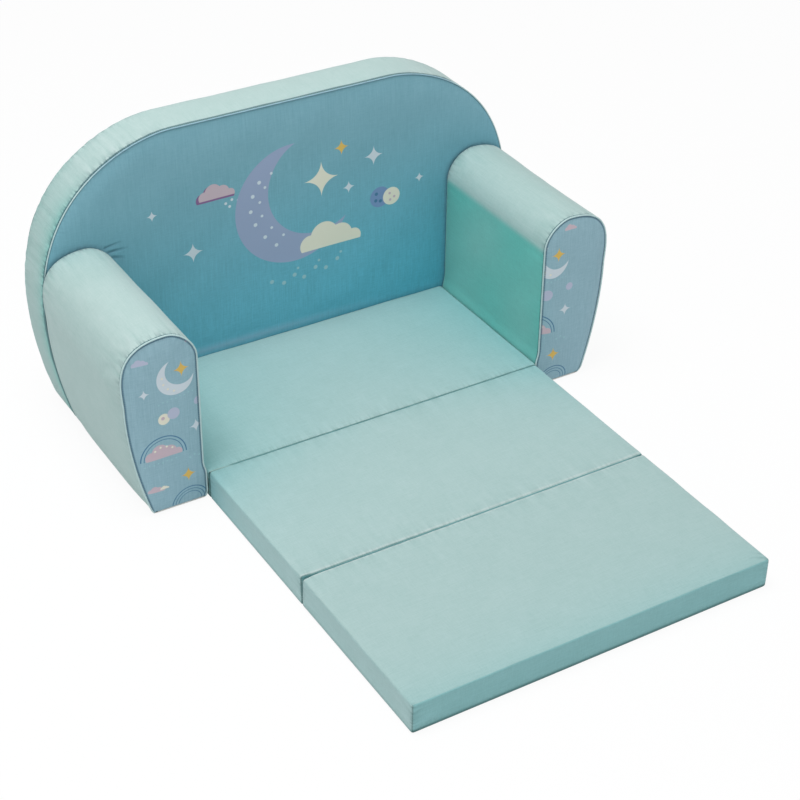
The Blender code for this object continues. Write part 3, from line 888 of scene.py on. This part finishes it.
def dressSlab(block):
    # hollow walls, waves on top, walls that lean at the folds; painted shade, shade tint and highlights
    x, y, z = block.rest.T
    (half, _, top), front, foldGap, aside = block.high, block.low[1], block.foldGap, np.abs(x)
    onTop, inFront, isSeat = z > top - touching, y < 0, block is seatBase
    wall, share = ~onTop & (z > touching), np.clip(z / top, 0, 1)
    foldWall, openWall = wall * (foldGap < touching), wall * (foldGap > touching)
    block.gather = np.where(onTop, 0.35, 0.6)
    hollow = openWall * 4 * share * (1 - share) * ramp(block.seamGap, 0, 0.05)
    nearing = foldWall * ramp(share, 0.15, 0.6) * ramp(x, -0.262, -0.225) * inFront * (1 + 0.4 * ramp(x, -0.2, 0.1))
    wave = onTop * slabDress["wave"] * ripple(block.rest, 0.1, block.seed) * ramp(foldGap, 0, 0.02)
    crease = ripple(block.rest * (1, 0.2, 1), 0.018, block.seed + 3) * fading(foldGap, 0.012)
    lift = slabDress["hollow"] * hollow + slabDress["swell"] * nearing + wave
    moveOut(block, lift + onTop * slabDress["crease"] * crease)
    # tops stay under the fold's axis, so that the folded slabs lie on each other
    over = np.maximum(block.places[:, 2] - (seatTop - 0.0009), 0)
    block.places[:, 2] -= over - 0.0007 * np.tanh(over / 0.0007)
    # the middle panel's hinged wall leans away from the seat base at its foot
    leaning = wall * (np.abs(y - middleRear) < touching) * (1 - share) * ramp(aside, 0.2, 0.26)
    block.places[:, 1] -= slabDress["lean"] * leaning
    # the seat base's upper sides lean on the arms' feet
    beside = ramp(aside, half - 0.008, half) * ramp(share, 0.5, 0.9)
    block.places[:, 0] += slabDress["beside"] * np.sign(x) * beside * isSeat
    # both slabs draw apart at the ends of the front fold, which opens a notch towards the top
    notch = ramp(aside, 0.25, 0.269) * ramp(share, 0.1, 1.0) * (1 - ramp(foldGap, 0, 0.01))
    block.places[:, 1] += notch * inFront * np.where(x < 0, 0.0019, 0.0006) * np.where(y > frontFold, 1, -1)
    leftWall = wall * ramp(-block.normals[:, 0], 0.5, 0.95)
    byArm = fading(np.maximum(armFront - 0.02 - y, 0) * 1.4 + 0.27 - aside, 0.11)
    # painted shade tint: on front faces, on the top near its front edge and the arms, on left walls and fold walls
    block.tint = ramp(-block.normals[:, 1], 0.3, 0.9) * 0.52 * (y < -0.4)
    block.tint += onTop * (0.2 * fading(y - matFront, 0.05) + 0.4 * byArm + 0.1 * ramp(y, 0, 0.3))
    block.tint += leftWall * (0.16 + 0.45 * fading(middleRear - y, 0.05))
    block.tint += foldWall * (0.28 + 0.42 * ramp(share, 0.8, 0.96))
    # painted shade: round the folds, at the foot, low on the seat base's sides, at the seat's rear edge and on some
    # tops and walls
    block.seamShade = highest(
        ramp(foldGap, 0.0012, 0) * ~onTop * 0.14, 0.85 * fading(z - 0.005, 0.0012) * ~onTop * (1 - 0.6 * leftWall),
        openWall * isSeat * 0.6 * (1 - ramp(z, 0.036, 0.046)), foldWall * (y > 0) * ramp(aside, 0.262, 0.267) * 0.75,
        0.25 * fading(seatRear - y, 0.003) * ramp(x, -0.1, 0.14), onTop * 0.05 * ramp(-y, 0.05, 0.25),
        0.03 * leftWall,
    )
    # the drawn seam line thins out: at the left end of the rear fold, and to the right of the front fold
    rearShift, frontShift = 0.0043 - 0.004 * ramp(x, -0.26, -0.23), 0.0002 + 0.0012 * ramp(x, -0.15, 0.05)
    block.shift = np.where(onTop & (foldGap < 0.02), np.where(y > 0, rearShift, frontShift), 0)
    # painted highlights: along the front fold's top edges, on the front corner and at the notch
    block.pale = onTop * 0.4 * hump(foldGap, 0.0026, 0.0011) * inFront
    block.pale += wall * 0.45 * fading(np.hypot(half - aside, y - front), 0.0007) * (y < -0.4)
    block.pale += wall * 0.4 * fading(np.hypot(half + x, foldGap), 0.001) * inFront


for block in blocks:
    block.wrapped = block in (backBlock, rightArm, leftArm)
    seamDistances(block)
    (dressBack if block is backBlock else dressArm if block.wrapped else dressSlab)(block)


def camelName(title):
    first, *others = title.split("_")
    return first + "".join(word.title() for word in others)


def finished(piece, body, nodes):
    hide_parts(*nodes)
    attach(piece, body)
    return piece


def coverPiece(title, block, sides, material, gather=1.0, keep=None, shift=0.0):
    # the quads of the named sides as their own sewn panel, with cloth thickness inwards
    chosen = np.isin(block.sides, [sideNames.index(side) for side in sides.split()])
    if keep is not None:
        chosen &= keep[block.faces].all(axis=1)
    faces, kind = block.faces[chosen], block.sides[chosen][:, None]
    used, packed = np.unique(faces, return_inverse=True)
    x, y, z = np.moveaxis(block.rest[faces], -1, 0)
    if block.wrapped:  # round the outline the cloth's own length counts, on flat sides the place
        wrap = np.isin(kind, (0, 1, 5)) * np.ones_like(x, bool)
        u, v = np.where(wrap, block.seamRun[faces], x), np.where(wrap | (kind == 4), y, z)
    else:
        u, v = np.where(kind < 2, y, x), np.where(kind < 4, z, y)
    packed = packed.reshape(-1, 4)
    piece = newPiece(camelName(title), block.places[used], packed, material, np.stack([u, v], -1))
    seams = np.stack([block.seamGap + shift, block.seamRun, block.gather * gather], -1)
    carry(piece.data, "seamPlace", seams[used])
    carry(piece.data, "shades", np.stack([block.seamShade, block.tint, block.pale], -1)[used])
    thick = piece.modifiers.new("clothThickness", "SOLIDIFY")
    thick.thickness, thick.offset = 0.0009, -1
    return finished(piece, block.body, [title])


def foamMaterial():
    # open-cell foam: small pits over a soft off-white
    made, tree, shader = newMaterial("whiteFoam")
    pits = node(tree, "ShaderNodeTexVoronoi", {"Vector": objectPlace(tree), "Scale": 700.0}, "Distance")
    # the pits are painted darker: painted shade in them
    base = mixed(pits, screen(214, 212, 204), screen(240, 239, 233))
    connect(shader, {"Base Color": base, "Roughness": 0.95, "Normal": bumped(pits * 0.0004, 0.8)})
    return made


whiteFoam = foamMaterial()
rearX, rearY, rearZ = backBlock.rest.T
outsideSlot = (np.abs(rearX) > 0.299) | (np.abs(rearZ - 0.045) > 0.002)
alongTop = ramp(rearZ, 0.33, 0.4)
coverPiece("back_front_cover", backBlock, "front", blueCloth, 0.25, shift=0.0014 + 0.0018 * alongTop)
coverPiece(
    "back_band_cover", backBlock, "left right top", wrapCloth,
    shift=-0.001 - 0.0012 * alongTop + 0.004 * (rearY > (backFront + backRear) / 2),
)
coverPiece("back_rear_cover", backBlock, "rear", rearCloth, keep=outsideSlot)
coverPiece("back_base_cloth", backBlock, "bottom", undersideCloth)
for arm in (rightArm, leftArm):
    coverPiece(arm.name + "_wrap_cover", arm, "left right top rear", wrapCloth)
    coverPiece(arm.name + "_front_cover", arm, "front", dustyBlueCloth, 0.3)
    coverPiece(arm.name + "_base_cloth", arm, "bottom", undersideCloth)
for slab in (seatBase, middlePanel, frontPanel):
    coverPiece(slab.name + "_cover", slab, "left right front rear top", mintCloth, shift=slab.shift)
    coverPiece(slab.name + "_bottom_cloth", slab, "bottom", mintCloth)
for block in blocks:
    foam = newPiece(camelName(block.name + "_foam"), block.core, block.coreFaces, whiteFoam)
    finished(foam, block.body, [block.name + "_foam"])
print("stage: covers cut")


# piping and seam cords: a round cord carried along a path
def cordPiece(name, path, radius, material, body, nodes, around=10, lumps=0.0, seed=0, dyed=None):
    # rings of points square to the path, closed by a fan at each end; the radius swells and shrinks a little,
    # and shading gives painted contact shade, painted shade tint and painted highlight at each point of the path
    along = unit(np.gradient(path, axis=0))
    side = np.cross(along, (0, 1, 0))
    size = np.linalg.norm(side, axis=1)[:, None]
    side = np.where(size > 1e-3, side / np.maximum(size, 1e-9), (0, 1, 0))
    side = unit(side - (side * along).sum(axis=1)[:, None] * along)
    run = runAlong(path)
    swell = radius * (1 + lumps * ripple(run[:, None], 0.011, seed))
    turn = np.linspace(0, 2 * np.pi, around, endpoint=False)[:, None]
    ring = np.cos(turn) * side[:, None] + np.sin(turn) * np.cross(along, side)[:, None]
    places = (path[:, None] + swell[:, None, None] * ring).reshape(-1, 3)
    here = np.arange(len(places)).reshape(-1, around)
    after = np.roll(here, -1, axis=1)
    quads = np.stack([here[:-1], after[:-1], after[1:], here[1:]], -1).reshape(-1, 4)
    tip = np.full(around, len(places))
    fans = np.vstack([np.c_[after[0], here[0], tip], np.c_[here[-1], after[-1], tip + 1]])
    row, column = np.divmod(np.arange(len(quads))[:, None], around)
    corners = [run[row + (0, 0, 1, 1)], (column + (0, 1, 1, 0)) * (2 * np.pi * radius / around)]
    uv = np.vstack([np.stack(corners, -1).reshape(-1, 2), np.zeros((fans.size, 2))])
    piece = newPiece(name, np.vstack([places, path[[0, -1]]]), (quads, fans), material, uv)
    if dyed is not None:
        carry(piece.data, "shades", np.vstack([np.repeat(dyed, around, axis=0), dyed[[0, -1]]]))
    return finished(piece, body, nodes)


cordFoot, cordInset = 0.0034, 0.0011


def cordRoute(path, y, side=1, middle=0.0):
    # the cord's route: a little inside the outline, with even steps, drawn in at the feet as the covers are
    even = alongPath(path, np.linspace(0, 1, 700))
    along = unit(np.gradient(even, axis=0))
    even = even + cordInset * np.stack([-along[:, 1], along[:, 0]], -1)
    x, z = even[even[:, 1] > cordFoot].T
    z[[0, -1]] = cordFoot
    eased = easeIn(z, footEase)
    return np.c_[(x - np.sign(x - middle) * eased) * side, y + eased, z]


backRoute = cordRoute(backPath, backFront + 0.0011)
routeZ = backRoute[:, 2]
# painted shade low on the piping, where the arms hide it, and the painted shade tint along the top
backPipingShading = np.c_[0.92 * (1 - ramp(routeZ, 0.235, 0.262)), ramp(routeZ, 0.36, 0.41), 0 * routeZ]
cordPiece(
    "backFrontPiping", backRoute, 0.0009, pipingCloth, "sofa_body", ["back_front_piping"],
    lumps=0.05, seed=3, dyed=backPipingShading,
)
for arm, side in ((rightArm, 1), (leftArm, -1)):
    cordPiece(
        camelName(arm.name + "_piping"), cordRoute(armPath, armFront + 0.0009, side, 0.33), 0.0011, pipingCloth,
        "sofa_body", [arm.name + "_piping"], lumps=0.06, seed=4 + side,
    )
foldLines = (
    ("rear_fold_seam", "sofa_body", rearFold, 0.043), ("front_fold_seam", "middle_panel", frontFold, 0.0022)
)
for cadNode, body, y, z in foldLines:
    x = np.linspace(-0.2645 - 0.004 * (y > 0), 0.2645, 300)
    raised = (1 - ramp(x, -0.255, -0.225)) * (y > 0)
    line = np.c_[x, 0 * x + y, z + 0.0025 * raised]
    # painted light on the raised left end of the rear fold's cord, lifting the groove's shade
    foldCordShading = np.c_[0 * x, 0 * x, 0.18 * raised]
    name = camelName(cadNode)
    cordPiece(name, line, 0.001, foldCloth, body, [cadNode], around=8, lumps=0.08, seed=9, dyed=foldCordShading)
print("stage: piping")


# zip in the rear cover: two woven tapes, a coil of two interlocked spirals, slider and pull
zipper = dict(
    height=0.045, tapeHalf=0.306, tapeWidth=0.0145, tapeRear=0.433725, tapeThick=0.0006, coilHalf=0.2975,
    pitch=0.0022, coilMiddle=0.434825, wire=0.0003, across=0.00115, offset=0.00068, deep=0.00046,
    meeting=0.00015, rounding=0.00022,
)


def tapeMaterial():
    # herringbone: diagonal threads that turn back at each column
    made, tree, shader = newMaterial("zipTape")
    u, v, _ = parted(clothPlace(tree))
    rib = ((u + v.math("PINGPONG", 0.0012)) * (2 * math.pi / 0.0009)).math("SINE") * 0.5 + 0.5
    base = mixed(rib, screen(128, 160, 160), screen(154, 187, 186))
    connect(shader, {"Base Color": base, "Roughness": 0.85, "Normal": bumped(rib * 0.00015, 0.8)})
    return made


def hardMaterial(name, colour, roughness, metallic, wear):
    # smooth hard surface with faint brushed wear
    made, tree, shader = newMaterial(name)
    brushed = noise(stretched(objectPlace(tree), (300, 2200, 2200)))
    base = mixed(brushed, scaled(colour, 0.8), colour)
    connect(shader, {"Base Color": base, "Roughness": brushed * wear + roughness, "Metallic": metallic})
    return made


zipTape, zipNylon = tapeMaterial(), hardMaterial("zipNylon", screen(176, 198, 196), 0.35, 0, 0.2)
zipMetal = hardMaterial("zipMetal", screen(176, 178, 180), 0.22, 1.0, 0.25)
cells = (153, 1, 10)
lattice, faces, _ = latticeShell(*cells)
share = lattice / cells
for name, side in (("upper", 1), ("lower", -1)):
    far, near = (zipper["height"] + side * zipper[edge] for edge in ("tapeWidth", "meeting"))
    x = (2 * share[:, 0] - 1) * zipper["tapeHalf"]
    y = zipper["tapeRear"] - zipper["tapeThick"] * (1 - share[:, 1])
    z = min(near, far) + share[:, 2] * abs(far - near)
    tape = newPiece(
        f"zip{name.title()}Tape", np.c_[x, y, z], faces, zipTape, np.stack([x[faces], z[faces]], -1)
    )
    finished(tape, "sofa_body", [f"rear_zip_{name}_tape"])
    turns = np.arange(-zipper["coilHalf"], zipper["coilHalf"], zipper["pitch"] / 8)
    angle = turns * (2 * np.pi / zipper["pitch"]) + (np.pi if side < 0 else 0)
    spiral = np.column_stack([
        turns, zipper["coilMiddle"] + zipper["deep"] * np.sin(angle),
        zipper["height"] + side * (zipper["offset"] + zipper["across"] * np.cos(angle)),
    ])
    coil = f"zip{name.title()}Coil"
    cordPiece(coil, spiral, zipper["wire"], zipNylon, "sofa_body", ["rear_zip_coil"], around=5)
for name in ("rear_zip_slider", "rear_zip_pull"):
    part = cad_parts[name]
    part.data.materials.clear()
    part.data.materials.append(zipMetal)
    rounding = part.modifiers.new("rounding", "BEVEL")
    rounding.width, rounding.segments, rounding.limit_method = zipper["rounding"], 3, "ANGLE"
print("stage: zip")


# studio: pale floor, plain soft light
studio = dict(
    floorShare=0.93, floorColour=(0.88, 0.89, 0.9), floorHalf=9.0, floorDrop=0.0002, world=0.5,
    key=dict(place=(-0.72, -0.1, 3.0), size=1.8, watts=63.5), fill=dict(place=(0.8, -2.6, 1.0), size=1.6, watts=2.0),
)


def seenRays(tree):
    # 1 for rays from the camera, also by way of a mirror or glass, and 0 for all others
    kinds = ("Is Camera Ray", "Is Glossy Ray", "Is Transmission Ray")
    first, *others = (node(tree, "ShaderNodeLightPath", None, kind) for kind in kinds)
    return first.most(*others)


def glowMaterial(name, share, colour):
    # what the camera sees is mostly plain white; all other rays meet a matt surface
    made, tree, shader = newMaterial(name)
    tree.nodes.remove(shader)
    matt = node(tree, "ShaderNodeBsdfDiffuse", {"Color": (*colour, 1)})
    glow = node(tree, "ShaderNodeEmission", {"Color": (1, 1, 1, 1), "Strength": 1.0})
    both = node(tree, "ShaderNodeMixShader", {0: seenRays(tree) * share, 1: matt, 2: glow})
    connect(tree.nodes["Material Output"], {"Surface": both})
    return made


def addStudio(setup):
    corners = np.array([(-1, -1, 0), (1, -1, 0), (1, 1, 0), (-1, 1, 0)]) * setup["floorHalf"]
    matt = glowMaterial("floor", setup["floorShare"], setup["floorColour"])
    floor = newPiece("floor", corners - (0, 0, setup["floorDrop"]), np.array([[0, 1, 2, 3]]), matt)
    for name in ("key", "fill"):
        lamp = bpy.data.lights.new(name, "AREA")
        lamp.shape, lamp.size, lamp.energy = "DISK", setup[name]["size"], setup[name]["watts"]
        place = Vector(setup[name]["place"])
        turned = place.to_track_quat("Z", "Y").to_matrix().to_4x4()
        addObject(name, lamp, Matrix.Translation(place) @ turned)
    world = bpy.context.scene.world = bpy.data.worlds.new("studio")
    world.use_nodes = True
    strength = seenRays(world.node_tree) * (1.0 - setup["world"]) + setup["world"]
    connect(world.node_tree.nodes["Background"], {"Color": (1, 1, 1, 1), "Strength": strength})


addStudio(studio)
bpy.context.scene.view_settings.view_transform = "Standard"
